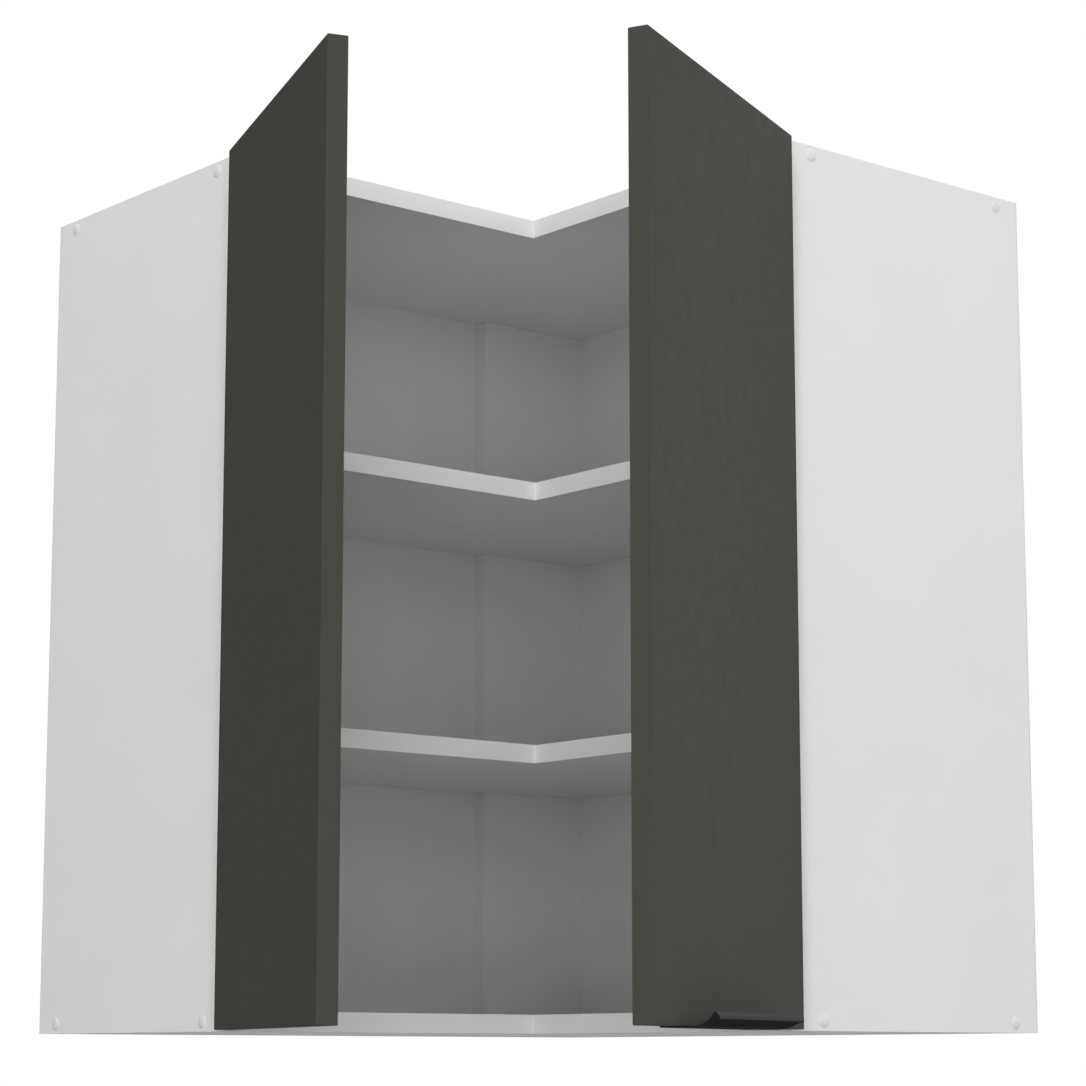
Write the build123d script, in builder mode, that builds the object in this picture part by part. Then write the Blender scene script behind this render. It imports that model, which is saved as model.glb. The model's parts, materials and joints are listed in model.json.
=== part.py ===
"""Corner wall cabinet: an L-shaped body of 16 mm board with two slab doors.

Row frame, in millimetres: the origin is the room corner at the cabinet's underside. One leg runs
along the wall plane x = 0 and ends at y = -LEG (the left end), the other runs along the wall plane
y = 0 and ends at x = LEG (the right end). The legs mirror each other about the plane x = -y, so
each end's pieces are drawn at the left end, in the coordinates "forward" (away from the wall,
counted from the body's front edge) and "inward" (along the wall, counted from the end's outer
face), and the right end's are mirrored. Both doors are drawn standing open.
"""
from build123d import *
import math
import os

os.makedirs("parts", exist_ok=True)

# ---------------------------------------------------------------- body
LEG = 600.0  # length of each leg along its wall
DEPTH = 288.0  # wall to the front edge of the body, without the door
HEIGHT = 716.0
BOARD = 16.0  # sides, top, bottom, shelves and corner board
BACK_T = 3.0  # hardboard backs
BACK_GAP = 11.0  # service gap between the wall and a back
GROOVE_DEPTH = 6.0
GROOVE_CLEARANCE = 0.15  # round a back in its groove
BAND_T = 0.8  # edge band on every front edge
CORNER_BOARD_W = 121.0
CORNER_BOARD_CLEARANCE = 0.2  # between the corner board and the bottom and top

# ---------------------------------------------------------------- shelves
SHELF_COUNT = 2
SHELF_SETBACK = 15.0  # behind the front edge of the body
SHELF_CLEARANCE = 0.5  # from the sides, the backs and the corner board
SUPPORT_D = 5.0
SUPPORT_FRONT = 52.0  # support pins behind the body's front edge
SUPPORT_REAR = 52.0  # support pins in front of the wall
SUPPORT_PIN = 8.0  # length in the board
SUPPORT_TONGUE = 9.0  # length under the shelf
SUPPORT_TONGUE_W = 6.0
SUPPORT_HOLE = 9.0  # depth of the drilled row
CORNER_PIN_D = 5.0  # hidden pins between the corner board and the shelves' edges
CORNER_PIN_LENGTH = 18.0
CORNER_PIN_IN_BOARD = 8.0
CORNER_PIN_PLACES = (35.0, 100.0)  # in front of the right back's inner face
ROW_PITCH = 32.0
ROW_HOLES = 3  # holes at each support place
HOLE_CLEARANCE = 0.05  # radial, round pins, dowels and screws in their holes

# ---------------------------------------------------------------- board joints
SCREW_FRONT = 36.0  # screws and caps behind the body's front edge
SCREW_REAR = 27.0  # screws and caps in front of the wall
SCREW_D = 6.6
SCREW_LENGTH = 50.0
SCREW_HEAD_D = 9.0
SCREW_HEAD_T = 4.0
SCREW_SINK = 0.5  # head below the side's face
SOCKET_D = 4.2
SOCKET_DEPTH = 3.0
CAP_D = 10.8
CAP_RISE = 2.6
CAP_ROUND = 2.2
CAP_STEM_D = 4.0
CAP_STEM = 2.4  # length in the screw's socket
DOWEL_D = 8.0
DOWEL_LENGTH = 30.0
DOWEL_IN_SIDE = 10.0
DOWEL_PLACES = (96.0, 192.0)  # in front of the wall
CORNER_SCREW_D = 5.0
CORNER_SCREW_HEAD_D = 9.0
CORNER_SCREW_HEAD_T = 3.0
CORNER_SCREW_LENGTH = 50.0
CORNER_SCREW_PLACES = (44.0, 105.0)  # from the wall behind the right leg
DRILL_SPARE = 1.0  # blind holes deeper than their screws

# ---------------------------------------------------------------- doors
DOOR_T = 16.0
DOOR_GAP = 2.0  # closed door to the front edges
DOOR_END_MARGIN = 2.0  # closed door inside the end's outer face
DOOR_EDGE_MARGIN = 1.0  # door inside the body's height, at the top and at the bottom
LEFT_DOOR_W = 296.0
RIGHT_DOOR_W = 286.0
LEFT_OPEN = 110.0  # angles of the doors as they stand open
RIGHT_OPEN = 114.0
DOOR_EDGE_R = 0.8
AXIS_FORWARD = 3.5  # hinge axis in front of the body
AXIS_INWARD = 1.75  # hinge axis inside the end's outer face

# ---------------------------------------------------------------- hinges
HINGE_MARGIN = 100.0  # hinge centre from the door's ends
CUP_D = 35.0
CUP_DEPTH = 11.5
CUP_EDGE = 3.0  # bored seat to the door's edge
CUP_WALL = 0.8
CUP_FLANGE_T = 1.0
CUP_FLANGE_RIM = 1.5  # flange wider than the seat
CUP_SCREW_SPACING = 45.0
CUP_SCREW_OFFSET = 9.5
CUP_EAR_R = 6.0
CUP_CLEARANCE = 0.1  # radial, in the bored seat
CHEEK_T = 1.0
CHEEK_Z = 6.0  # inner faces of the slotted cheeks from the hinge centre
SLOT_CLEARANCE = 0.4  # round the sliding pin, in the cheeks' slots
PATH_STEPS = 12  # short straight stretches of each slot
PIVOT_FORWARD = 8.4  # arm pivot in front of the body
PIVOT_INWARD = 11.0
PIVOT_R = 1.5
ARM_EYE_R = 3.0
ARM_NOSE_Z = 3.0  # half height of the arm's nose
ARM_NECK_R = 1.9
ARM_KNEE_BACK = 1.0  # knee of the neck behind the body's front edge
ARM_KNEE_RISE = 6.3  # knee of the neck above the side's inner face
ARM_Z = 6.5  # half height of the arm's channel
ARM_WEB_T = 2.0
ARM_REAR = 66.0  # channel ends behind the body's front edge
ARM_FRONT = 12.0
ARM_CLEARANCE = 0.2  # between the arm's flanges and the plate
LINK_LENGTH = 22.6  # pivot to sliding pin
LINK_R = 2.4
LINK_T = 1.6
LINK_CLEARANCE = 0.4  # between the nose and each link plate
LINK_RATIO = 1.33  # turn of the link for one unit of the door's turn
LINK_CLOSED = 89.0  # link's direction with the door closed, turned from forward to inward
LINK_WEB_START = 10.0
LINK_WEB_END = 19.5
LINK_WEB_T = 2.4
PIVOT_SPARE = 0.5  # pivot past the link plates
PIN_R = 1.5
PIN_HALF = 7.6
PIN_CLEARANCE = 0.03  # radial, of the pivot in the link and of the sliding pin in its eyes
PLATE_CENTRE = 37.0  # mounting plate screws behind the body's front edge
PLATE_SPACING = 32.0
PLATE_WING_W = 12.0
PLATE_WING_H = 50.0
PLATE_T = 2.0
RIDGE_REAR = 62.0
RIDGE_FRONT = 16.0
RIDGE_W = 9.0
RIDGE_H = 7.0
PLATE_SCREW_D = 3.5
PLATE_SCREW_LENGTH = 13.0
CUP_SCREW_D = 3.0
CUP_SCREW_LENGTH = 12.0
SMALL_HEAD_D = 6.5
SMALL_HEAD_T = 0.9
ARM_SCREW_D = 5.0
ARM_SCREW_HEAD_D = 8.0
ARM_SCREW_HEAD_T = 2.0
ARM_SCREW_PLACE = 52.0  # behind the body's front edge
ARM_SCREW_LENGTH = 6.0

# ---------------------------------------------------------------- handle and bumpers
HANDLE_LENGTH = 162.0
HANDLE_END = 43.0  # from the right door's free edge
HANDLE_PLATE_T = 1.1
HANDLE_PLATE_IN = 14.4  # plate behind the door's face, under its edge
HANDLE_THROAT = 10.5  # flat of the plate in front of the door's face
HANDLE_TIP = 27.0  # lip's upper edge in front of the door's face
HANDLE_RISE = 10.2  # lip's upper edge above the door's lower edge
HANDLE_REACH = 31.3  # lip's outer edge in front of the door's face
HANDLE_OUTER_RISE = 4.7  # lip's outer edge above the door's lower edge
HANDLE_BELLY = 20.0  # underside of the lip meets the plate's level here
HANDLE_SCREWS = 3
HANDLE_SCREW_D = 3.0
HANDLE_SCREW_HEAD_D = 5.6
HANDLE_SCREW_HEAD_T = 0.9
HANDLE_SCREW_LENGTH = 16.0
BUMPER_D = 8.0
BUMPER_T = 1.6
BUMPER_INSET = 30.0  # from the free edge

# ---------------------------------------------------------------- wall hangers
HANGER_W = 20.0
HANGER_H = 44.0
HANGER_DEPTH = 58.0
HANGER_DROP = 3.0  # under the top
HANGER_WALL = 2.0
HANGER_BACK_GAP = 0.3  # in front of the back
HANGER_PEG_D = 8.0
HANGER_PEG_LENGTH = 9.0
HANGER_PEGS = (15.0, 45.0)  # in front of the back
HOOK_T = 2.5
HOOK_W = 11.0
HOOK_WALL_GAP = 2.0  # hook's lip in front of the wall
HOOK_LENGTH = 40.0
HOOK_LIP = 9.0
HOOK_SLOT_CLEARANCE = 2.0
ADJUSTER_D = 6.0
ADJUSTER_LENGTH = 16.0
ADJUSTER_HEAD_D = 9.0
ADJUSTER_HEAD_T = 2.0
ADJUSTER_PLACES = (9.0, 27.0)  # below the top of the hanger

# ---------------------------------------------------------------- worked out
ON = (Align.CENTER, Align.CENTER, Align.MIN)  # stands on its plane
UNDER = (Align.CENTER, Align.CENTER, Align.MAX)  # sinks below its plane
DIAGONAL = Plane(origin=(0, 0, 0), x_dir=(0, 0, 1), z_dir=(1, 1, 0))
BACK_INNER = BACK_GAP + BACK_T
COMPARTMENT_H = (HEIGHT - 2 * BOARD - SHELF_COUNT * BOARD) / (SHELF_COUNT + 1)
SHELF_BOTTOMS = [BOARD + (n + 1) * COMPARTMENT_H + n * BOARD for n in range(SHELF_COUNT)]
SHELF_FRONT = DEPTH - SHELF_SETBACK
SHELF_END = BOARD + SHELF_CLEARANCE
BOARD_MIDS = (BOARD / 2, HEIGHT - BOARD / 2)
CORNER_FACE = BACK_INNER + BOARD
CORNER_MID = BACK_INNER + BOARD / 2
DOOR_H = HEIGHT - 2 * DOOR_EDGE_MARGIN
HINGE_ZS = (DOOR_EDGE_MARGIN + HINGE_MARGIN, HEIGHT - DOOR_EDGE_MARGIN - HINGE_MARGIN)
CUP_CENTRE = CUP_EDGE + CUP_D / 2
ARM_LOW = BOARD + PLATE_T + ARM_CLEARANCE
ARM_HIGH = BOARD + RIDGE_H + ARM_WEB_T
RIDGE_TOP = BOARD + RIDGE_H
RIDGE_SLOT = RIDGE_W / 2 + ARM_CLEARANCE
LINK_INNER = ARM_NOSE_Z + LINK_CLEARANCE
LINK_OUTER = LINK_INNER + LINK_T
HANGER_TOP = HEIGHT - BOARD - HANGER_DROP
HANGER_REAR = BACK_INNER + HANGER_BACK_GAP
HANGER_MID = BOARD + HANGER_W / 2
HOOK_TOP = HANGER_TOP - HANGER_WALL
ENDS = {
    "left": {"width": LEFT_DOOR_W, "open": LEFT_OPEN},
    "right": {"width": RIGHT_DOOR_W, "open": RIGHT_OPEN},
}


def keep(part, name, end="left"):
    """Write one finished sub-part; the right end's are mirrored about the diagonal."""
    placed = part if end == "left" else mirror(part, about=DIAGONAL)
    placed.label = name
    export_step(placed, f"parts/{name}.step")


def turned(forward, inward, degrees):
    """A point of the left end turned about the hinge axis."""
    angle = math.radians(degrees)
    df = forward - AXIS_FORWARD
    di = inward - AXIS_INWARD
    return (
        AXIS_FORWARD + df * math.cos(angle) - di * math.sin(angle),
        AXIS_INWARD + df * math.sin(angle) + di * math.cos(angle),
    )


def door_plane(open_angle, z, along=0.0, lift=0.0):
    """Level plane of an open door: x along its width from the hinge edge, y from its outer to its
    inner face, with 0 at the inner face."""
    forward, inward = turned(DOOR_GAP - lift, DOOR_END_MARGIN + along, -open_angle)
    angle = math.radians(90.0 - open_angle)
    return Plane(
        origin=(DEPTH + forward, inward - LEG, z),
        x_dir=(math.cos(angle), math.sin(angle), 0),
        z_dir=(0, 0, 1),
    )


def face_plane(open_angle, z, along, lift=0.0):
    """Upright plane on an open door's inner face, facing the cabinet, with x along the door."""
    level = door_plane(open_angle, z, along, lift)
    return Plane(origin=level.origin, x_dir=level.x_dir, z_dir=level.y_dir)


def floor_plane(forward, inward, z):
    """Level plane at the left end: x forward, y inward."""
    return Plane(origin=(DEPTH + forward, inward - LEG, z), x_dir=(1, 0, 0), z_dir=(0, 0, 1))


def end_plane(forward, inward, z):
    """Upright plane at the left end, facing inward, with x forward."""
    return Plane(origin=(DEPTH + forward, inward - LEG, z), x_dir=(1, 0, 0), z_dir=(0, 1, 0))


def wall_plane(forward, inward, z):
    """Upright plane at the left end, facing forward."""
    return Plane(origin=(DEPTH + forward, inward - LEG, z), x_dir=(0, 1, 0), z_dir=(1, 0, 0))


def l_face(end, front, rear):
    """L-shaped face: `end` short of the cabinet's ends, from `rear` to `front` off each wall."""
    far = LEG - end
    Polygon(
        (rear, -rear), (far, -rear), (far, -front), (front, -front), (front, -far), (rear, -far),
        align=None,
    )


def bar(start, finish, radius, mode=Mode.ADD):
    """Flat bar with round ends."""
    dx = finish[0] - start[0]
    dy = finish[1] - start[1]
    side_x = -dy / math.hypot(dx, dy) * radius
    side_y = dx / math.hypot(dx, dy) * radius
    for centre in (start, finish):
        with Locations(centre):
            Circle(radius, mode=mode)
    Polygon(
        (start[0] + side_x, start[1] + side_y), (finish[0] + side_x, finish[1] + side_y),
        (finish[0] - side_x, finish[1] - side_y), (start[0] - side_x, start[1] - side_y),
        align=None, mode=mode,
    )


def link_end(open_angle, reach):
    """Point on the link's centre line, (forward, inward), `reach` from the arm's pivot."""
    angle = math.radians(LINK_CLOSED - LINK_RATIO * open_angle)
    return (PIVOT_FORWARD + reach * math.cos(angle), PIVOT_INWARD + reach * math.sin(angle))


def slide_path(open_angle):
    """Sliding pin's centre through the swing, on the door's level plane at the cup's centre."""
    points = []
    for step in range(PATH_STEPS + 1):
        door_angle = open_angle * step / PATH_STEPS
        forward, inward = turned(*link_end(door_angle, LINK_LENGTH), door_angle)
        points.append((inward - DOOR_END_MARGIN - CUP_CENTRE, DOOR_GAP - forward))
    return points


# ================================================================ end panels
def joint_drills(z):
    """Screw and dowel holes in the left end of a bottom or top, as a solid to cut away."""
    with BuildPart() as drills:
        for forward in (-SCREW_FRONT, SCREW_REAR - DEPTH):
            with Locations(end_plane(forward, BOARD, z)):
                Cylinder(
                    SCREW_D / 2 + HOLE_CLEARANCE, SCREW_SINK + SCREW_LENGTH - BOARD + DRILL_SPARE,
                    align=ON,
                )
        for place in DOWEL_PLACES:
            with Locations(end_plane(place - DEPTH, BOARD, z)):
                Cylinder(
                    DOWEL_D / 2 + HOLE_CLEARANCE, DOWEL_LENGTH - DOWEL_IN_SIDE + DRILL_SPARE,
                    align=ON,
                )
    return drills.part


for end_name in ENDS:
    with BuildPart() as side_panel:
        with BuildSketch(floor_plane(-DEPTH, 0, 0)):
            Rectangle(DEPTH - BAND_T, BOARD, align=(Align.MIN, Align.MIN))
        extrude(amount=HEIGHT)
        # groove for the hardboard back
        with BuildSketch(floor_plane(BACK_GAP + BACK_T / 2 - DEPTH, BOARD, 0)):
            Rectangle(
                BACK_T + 2 * GROOVE_CLEARANCE, GROOVE_DEPTH, align=(Align.CENTER, Align.MAX)
            )
        extrude(amount=HEIGHT, mode=Mode.SUBTRACT)
        # rows of support holes
        for shelf_z in SHELF_BOTTOMS:
            for forward in (-SUPPORT_FRONT, SUPPORT_REAR - DEPTH):
                with Locations(end_plane(forward, BOARD, shelf_z - SUPPORT_D / 2)):
                    with GridLocations(0, ROW_PITCH, 1, ROW_HOLES):
                        Cylinder(
                            SUPPORT_D / 2 + HOLE_CLEARANCE, SUPPORT_HOLE, align=UNDER,
                            mode=Mode.SUBTRACT,
                        )
        # screw and dowel holes at the bottom and the top
        for mid_z in BOARD_MIDS:
            for forward in (-SCREW_FRONT, SCREW_REAR - DEPTH):
                with Locations(end_plane(forward, 0, mid_z)):
                    Cylinder(SCREW_D / 2 + HOLE_CLEARANCE, BOARD, align=ON, mode=Mode.SUBTRACT)
                    Cylinder(
                        SCREW_HEAD_D / 2 + HOLE_CLEARANCE, SCREW_SINK + SCREW_HEAD_T, align=ON,
                        mode=Mode.SUBTRACT,
                    )
            for place in DOWEL_PLACES:
                with Locations(end_plane(place - DEPTH, BOARD, mid_z)):
                    Cylinder(
                        DOWEL_D / 2 + HOLE_CLEARANCE, DOWEL_IN_SIDE, align=UNDER,
                        mode=Mode.SUBTRACT,
                    )
        # pilot holes of the hinges' mounting plates
        for hinge_z in HINGE_ZS:
            with Locations(end_plane(-PLATE_CENTRE, BOARD, hinge_z)):
                with GridLocations(0, PLATE_SPACING, 1, 2):
                    Cylinder(
                        PLATE_SCREW_D / 2 + HOLE_CLEARANCE, PLATE_SCREW_LENGTH - PLATE_T,
                        align=UNDER, mode=Mode.SUBTRACT,
                    )
        # peg holes of the wall hanger
        for peg in HANGER_PEGS:
            with Locations(end_plane(BACK_INNER + peg - DEPTH, BOARD, HANGER_TOP - HANGER_H / 2)):
                Cylinder(
                    HANGER_PEG_D / 2 + HOLE_CLEARANCE, HANGER_PEG_LENGTH + HOLE_CLEARANCE,
                    align=UNDER, mode=Mode.SUBTRACT,
                )
    keep(side_panel.part, f"{end_name}_side_panel", end_name)

    with BuildPart() as side_band:
        with BuildSketch(floor_plane(-BAND_T, 0, 0)):
            Rectangle(BAND_T, BOARD, align=(Align.MIN, Align.MIN))
        extrude(amount=HEIGHT)
    keep(side_band.part, f"{end_name}_side_edge_band", end_name)


# ================================================================ bottom and top
for panel_name, panel_z, groove_z, head_side in (
    ("bottom_panel", 0.0, BOARD - GROOVE_DEPTH, ON),
    ("top_panel", HEIGHT - BOARD, HEIGHT - BOARD, UNDER),
):
    outer_z = 0.0 if head_side == ON else HEIGHT
    left_drills = joint_drills(panel_z + BOARD / 2)
    right_drills = mirror(left_drills, about=DIAGONAL)
    with BuildPart() as l_panel:
        with BuildSketch(Plane.XY.offset(panel_z)):
            l_face(BOARD, DEPTH - BAND_T, 0)
        extrude(amount=BOARD)
        # grooves for the two backs
        with BuildSketch(Plane.XY.offset(groove_z)):
            l_face(BOARD, BACK_INNER + GROOVE_CLEARANCE, BACK_GAP - GROOVE_CLEARANCE)
        extrude(amount=GROOVE_DEPTH, mode=Mode.SUBTRACT)
        add(left_drills, mode=Mode.SUBTRACT)
        add(right_drills, mode=Mode.SUBTRACT)
        # screw holes towards the corner board
        with Locations(*[(CORNER_MID, -place, outer_z) for place in CORNER_SCREW_PLACES]):
            Cylinder(
                CORNER_SCREW_D / 2 + HOLE_CLEARANCE, BOARD, align=head_side, mode=Mode.SUBTRACT
            )
            Cylinder(
                CORNER_SCREW_HEAD_D / 2 + HOLE_CLEARANCE, CORNER_SCREW_HEAD_T, align=head_side,
                mode=Mode.SUBTRACT,
            )
    keep(l_panel.part, panel_name)


def front_band(name, z, front, end):
    """Edge band along both front edges of an L-shaped board, folded round the inner corner."""
    far = LEG - end
    inner = front - BAND_T
    with BuildPart() as band:
        with BuildSketch(Plane.XY.offset(z)):
            Polygon(
                (front, -front), (front, -far), (inner, -far), (inner, -inner), (far, -inner),
                (far, -front), align=None,
            )
        extrude(amount=BOARD)
    keep(band.part, name)


front_band("bottom_edge_band", 0.0, DEPTH, BOARD)
front_band("top_edge_band", HEIGHT - BOARD, DEPTH, BOARD)

# ================================================================ backs and corner board
BACK_LOW = BOARD - GROOVE_DEPTH + GROOVE_CLEARANCE
# the right back reaches the wall side of the left one, which meets its inner face
for end_name, corner_stop in (("left", BACK_INNER), ("right", BACK_GAP)):
    with BuildPart() as back_panel:
        with BuildSketch(floor_plane(BACK_GAP - DEPTH, BACK_LOW, BACK_LOW)):
            Rectangle(BACK_T, LEG - corner_stop - BACK_LOW, align=(Align.MIN, Align.MIN))
        extrude(amount=HEIGHT - 2 * BACK_LOW)
        # opening for the hanger's hook
        with BuildSketch(wall_plane(-DEPTH, HANGER_MID, HANGER_TOP)):
            Rectangle(
                HOOK_W + 2 * HOOK_SLOT_CLEARANCE, HOOK_T + HOOK_LIP + 2 * HOOK_SLOT_CLEARANCE,
                align=(Align.CENTER, Align.MAX),
            )
        extrude(amount=BACK_INNER, mode=Mode.SUBTRACT)
    keep(back_panel.part, f"{end_name}_back_panel", end_name)


def corner_pin_planes(shelf_z):
    """Planes of the hidden pins on the corner board's face, at a shelf's middle."""
    return [
        Plane(
            origin=(CORNER_FACE, -BACK_INNER - place, shelf_z + BOARD / 2),
            x_dir=(0, 1, 0), z_dir=(1, 0, 0),
        )
        for place in CORNER_PIN_PLACES
    ]


with BuildPart() as corner_board:
    with BuildSketch(Plane.XY.offset(BOARD + CORNER_BOARD_CLEARANCE)):
        with Locations((BACK_INNER, -BACK_INNER)):
            Rectangle(BOARD, CORNER_BOARD_W, align=(Align.MIN, Align.MAX))
    extrude(amount=HEIGHT - 2 * BOARD - 2 * CORNER_BOARD_CLEARANCE)
    for shelf_z in SHELF_BOTTOMS:
        with Locations(*corner_pin_planes(shelf_z)):
            Cylinder(
                CORNER_PIN_D / 2 + HOLE_CLEARANCE, CORNER_PIN_IN_BOARD, align=UNDER,
                mode=Mode.SUBTRACT,
            )
    for face_z, side in ((BOARD, ON), (HEIGHT - BOARD, UNDER)):
        with Locations(*[(CORNER_MID, -place, face_z) for place in CORNER_SCREW_PLACES]):
            Cylinder(
                CORNER_SCREW_D / 2 + HOLE_CLEARANCE, CORNER_SCREW_LENGTH - BOARD + DRILL_SPARE,
                align=side, mode=Mode.SUBTRACT,
            )
keep(corner_board.part, "corner_board")


# ================================================================ shelves
def support_pins(planes):
    """Shelf supports: a round pin in the board and a flat tongue under the shelf."""
    with BuildPart() as pins:
        with Locations(*planes):
            Cylinder(SUPPORT_D / 2, SUPPORT_PIN, align=UNDER)
            Box(SUPPORT_TONGUE_W, SUPPORT_D, SUPPORT_TONGUE, align=ON)
    return pins.part


for shelf_name, shelf_z in zip(("lower_shelf", "upper_shelf"), SHELF_BOTTOMS):
    with BuildPart() as shelf:
        with BuildSketch(Plane.XY.offset(shelf_z)):
            l_face(SHELF_END, SHELF_FRONT - BAND_T, BACK_INNER + SHELF_CLEARANCE)
            # notch round the corner board
            with Locations((BACK_INNER, -BACK_INNER)):
                Rectangle(
                    BOARD + SHELF_CLEARANCE, CORNER_BOARD_W + SHELF_CLEARANCE,
                    align=(Align.MIN, Align.MAX), mode=Mode.SUBTRACT,
                )
        extrude(amount=BOARD)
        with Locations(*corner_pin_planes(shelf_z)):
            Cylinder(
                CORNER_PIN_D / 2 + HOLE_CLEARANCE,
                CORNER_PIN_LENGTH - CORNER_PIN_IN_BOARD + DRILL_SPARE, align=ON,
                mode=Mode.SUBTRACT,
            )
    keep(shelf.part, shelf_name)
    front_band(f"{shelf_name}_edge_band", shelf_z, SHELF_FRONT, SHELF_END)

    left_pins = support_pins(
        [
            end_plane(forward, BOARD, shelf_z - SUPPORT_D / 2)
            for forward in (-SUPPORT_FRONT, SUPPORT_REAR - DEPTH)
        ]
    )
    right_pins = mirror(left_pins, about=DIAGONAL)
    with BuildPart() as supports:
        add(left_pins)
        add(right_pins)
    keep(supports.part, f"{shelf_name}_supports")

with BuildPart() as corner_pins:
    for shelf_z in SHELF_BOTTOMS:
        with Locations(*corner_pin_planes(shelf_z)):
            Cylinder(CORNER_PIN_D / 2, CORNER_PIN_IN_BOARD, align=UNDER)
            Cylinder(CORNER_PIN_D / 2, CORNER_PIN_LENGTH - CORNER_PIN_IN_BOARD, align=ON)
keep(corner_pins.part, "corner_board_pins")

# ================================================================ joining screws, caps and dowels
SCREW_PLACES = [
    (forward, z) for forward in (-SCREW_FRONT, SCREW_REAR - DEPTH) for z in BOARD_MIDS
]
for end_name in ENDS:
    with BuildPart() as carcass_screws:
        with Locations(*[end_plane(forward, SCREW_SINK, z) for forward, z in SCREW_PLACES]):
            Cylinder(SCREW_D / 2, SCREW_LENGTH, align=ON)
            Cylinder(SCREW_HEAD_D / 2, SCREW_HEAD_T, align=ON)
            Cylinder(SOCKET_D / 2, SOCKET_DEPTH, align=ON, mode=Mode.SUBTRACT)
    keep(carcass_screws.part, f"{end_name}_carcass_screws", end_name)

    with BuildPart() as screw_caps:
        with Locations(*[end_plane(forward, 0, z) for forward, z in SCREW_PLACES]):
            Cylinder(CAP_D / 2, CAP_RISE, align=UNDER)
            Cylinder(CAP_STEM_D / 2, SCREW_SINK + CAP_STEM, align=ON)
        fillet(screw_caps.edges().group_by(Axis.Y)[0], CAP_ROUND)
    keep(screw_caps.part, f"{end_name}_screw_caps", end_name)

    with BuildPart() as dowels:
        with Locations(
            *[end_plane(place - DEPTH, BOARD, z) for place in DOWEL_PLACES for z in BOARD_MIDS]
        ):
            Cylinder(DOWEL_D / 2, DOWEL_IN_SIDE, align=UNDER)
            Cylinder(DOWEL_D / 2, DOWEL_LENGTH - DOWEL_IN_SIDE, align=ON)
    keep(dowels.part, f"{end_name}_dowels", end_name)

with BuildPart() as corner_screws:
    for outer_z, side in ((0.0, ON), (HEIGHT, UNDER)):
        with Locations(*[(CORNER_MID, -place, outer_z) for place in CORNER_SCREW_PLACES]):
            Cylinder(CORNER_SCREW_D / 2, CORNER_SCREW_LENGTH, align=side)
            Cylinder(CORNER_SCREW_HEAD_D / 2, CORNER_SCREW_HEAD_T, align=side)
keep(corner_screws.part, "corner_board_screws")

# ================================================================ wall hangers
for end_name in ENDS:
    hanger_front = HANGER_REAR + HANGER_DEPTH
    with BuildPart() as hanger:
        with BuildSketch(floor_plane(HANGER_REAR - DEPTH, BOARD, HANGER_TOP - HANGER_H)):
            Rectangle(HANGER_DEPTH, HANGER_W, align=(Align.MIN, Align.MIN))
        extrude(amount=HANGER_H)
        # pocket, open towards the back
        with BuildSketch(
            floor_plane(
                HANGER_REAR - DEPTH, BOARD + HANGER_WALL, HANGER_TOP - HANGER_H + HANGER_WALL
            )
        ):
            Rectangle(
                HANGER_DEPTH - HANGER_WALL, HANGER_W - 2 * HANGER_WALL,
                align=(Align.MIN, Align.MIN),
            )
        extrude(amount=HANGER_H - 2 * HANGER_WALL, mode=Mode.SUBTRACT)
        for place in ADJUSTER_PLACES:
            with Locations(wall_plane(hanger_front - DEPTH, HANGER_MID, HANGER_TOP - place)):
                Cylinder(
                    ADJUSTER_D / 2 + HOLE_CLEARANCE, HANGER_WALL, align=UNDER, mode=Mode.SUBTRACT
                )
        for peg in HANGER_PEGS:
            with Locations(end_plane(BACK_INNER + peg - DEPTH, BOARD, HANGER_TOP - HANGER_H / 2)):
                Cylinder(HANGER_PEG_D / 2, HANGER_PEG_LENGTH, align=UNDER)
    keep(hanger.part, f"{end_name}_wall_hanger", end_name)

    with BuildPart() as hook:
        with BuildSketch(floor_plane(HOOK_WALL_GAP - DEPTH, HANGER_MID, HOOK_TOP - HOOK_T)):
            Rectangle(HOOK_LENGTH, HOOK_W, align=(Align.MIN, Align.CENTER))
        extrude(amount=HOOK_T)
        with BuildSketch(
            floor_plane(HOOK_WALL_GAP - DEPTH, HANGER_MID, HOOK_TOP - HOOK_T - HOOK_LIP)
        ):
            Rectangle(HOOK_T, HOOK_W, align=(Align.MIN, Align.CENTER))
        extrude(amount=HOOK_LIP)
    keep(hook.part, f"{end_name}_hanger_hook", end_name)

    with BuildPart() as adjusters:
        with Locations(
            *[
                wall_plane(hanger_front - DEPTH, HANGER_MID, HANGER_TOP - place)
                for place in ADJUSTER_PLACES
            ]
        ):
            Cylinder(ADJUSTER_D / 2, ADJUSTER_LENGTH, align=UNDER)
            Cylinder(ADJUSTER_HEAD_D / 2, ADJUSTER_HEAD_T, align=ON)
    keep(adjusters.part, f"{end_name}_hanger_screws", end_name)

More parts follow.
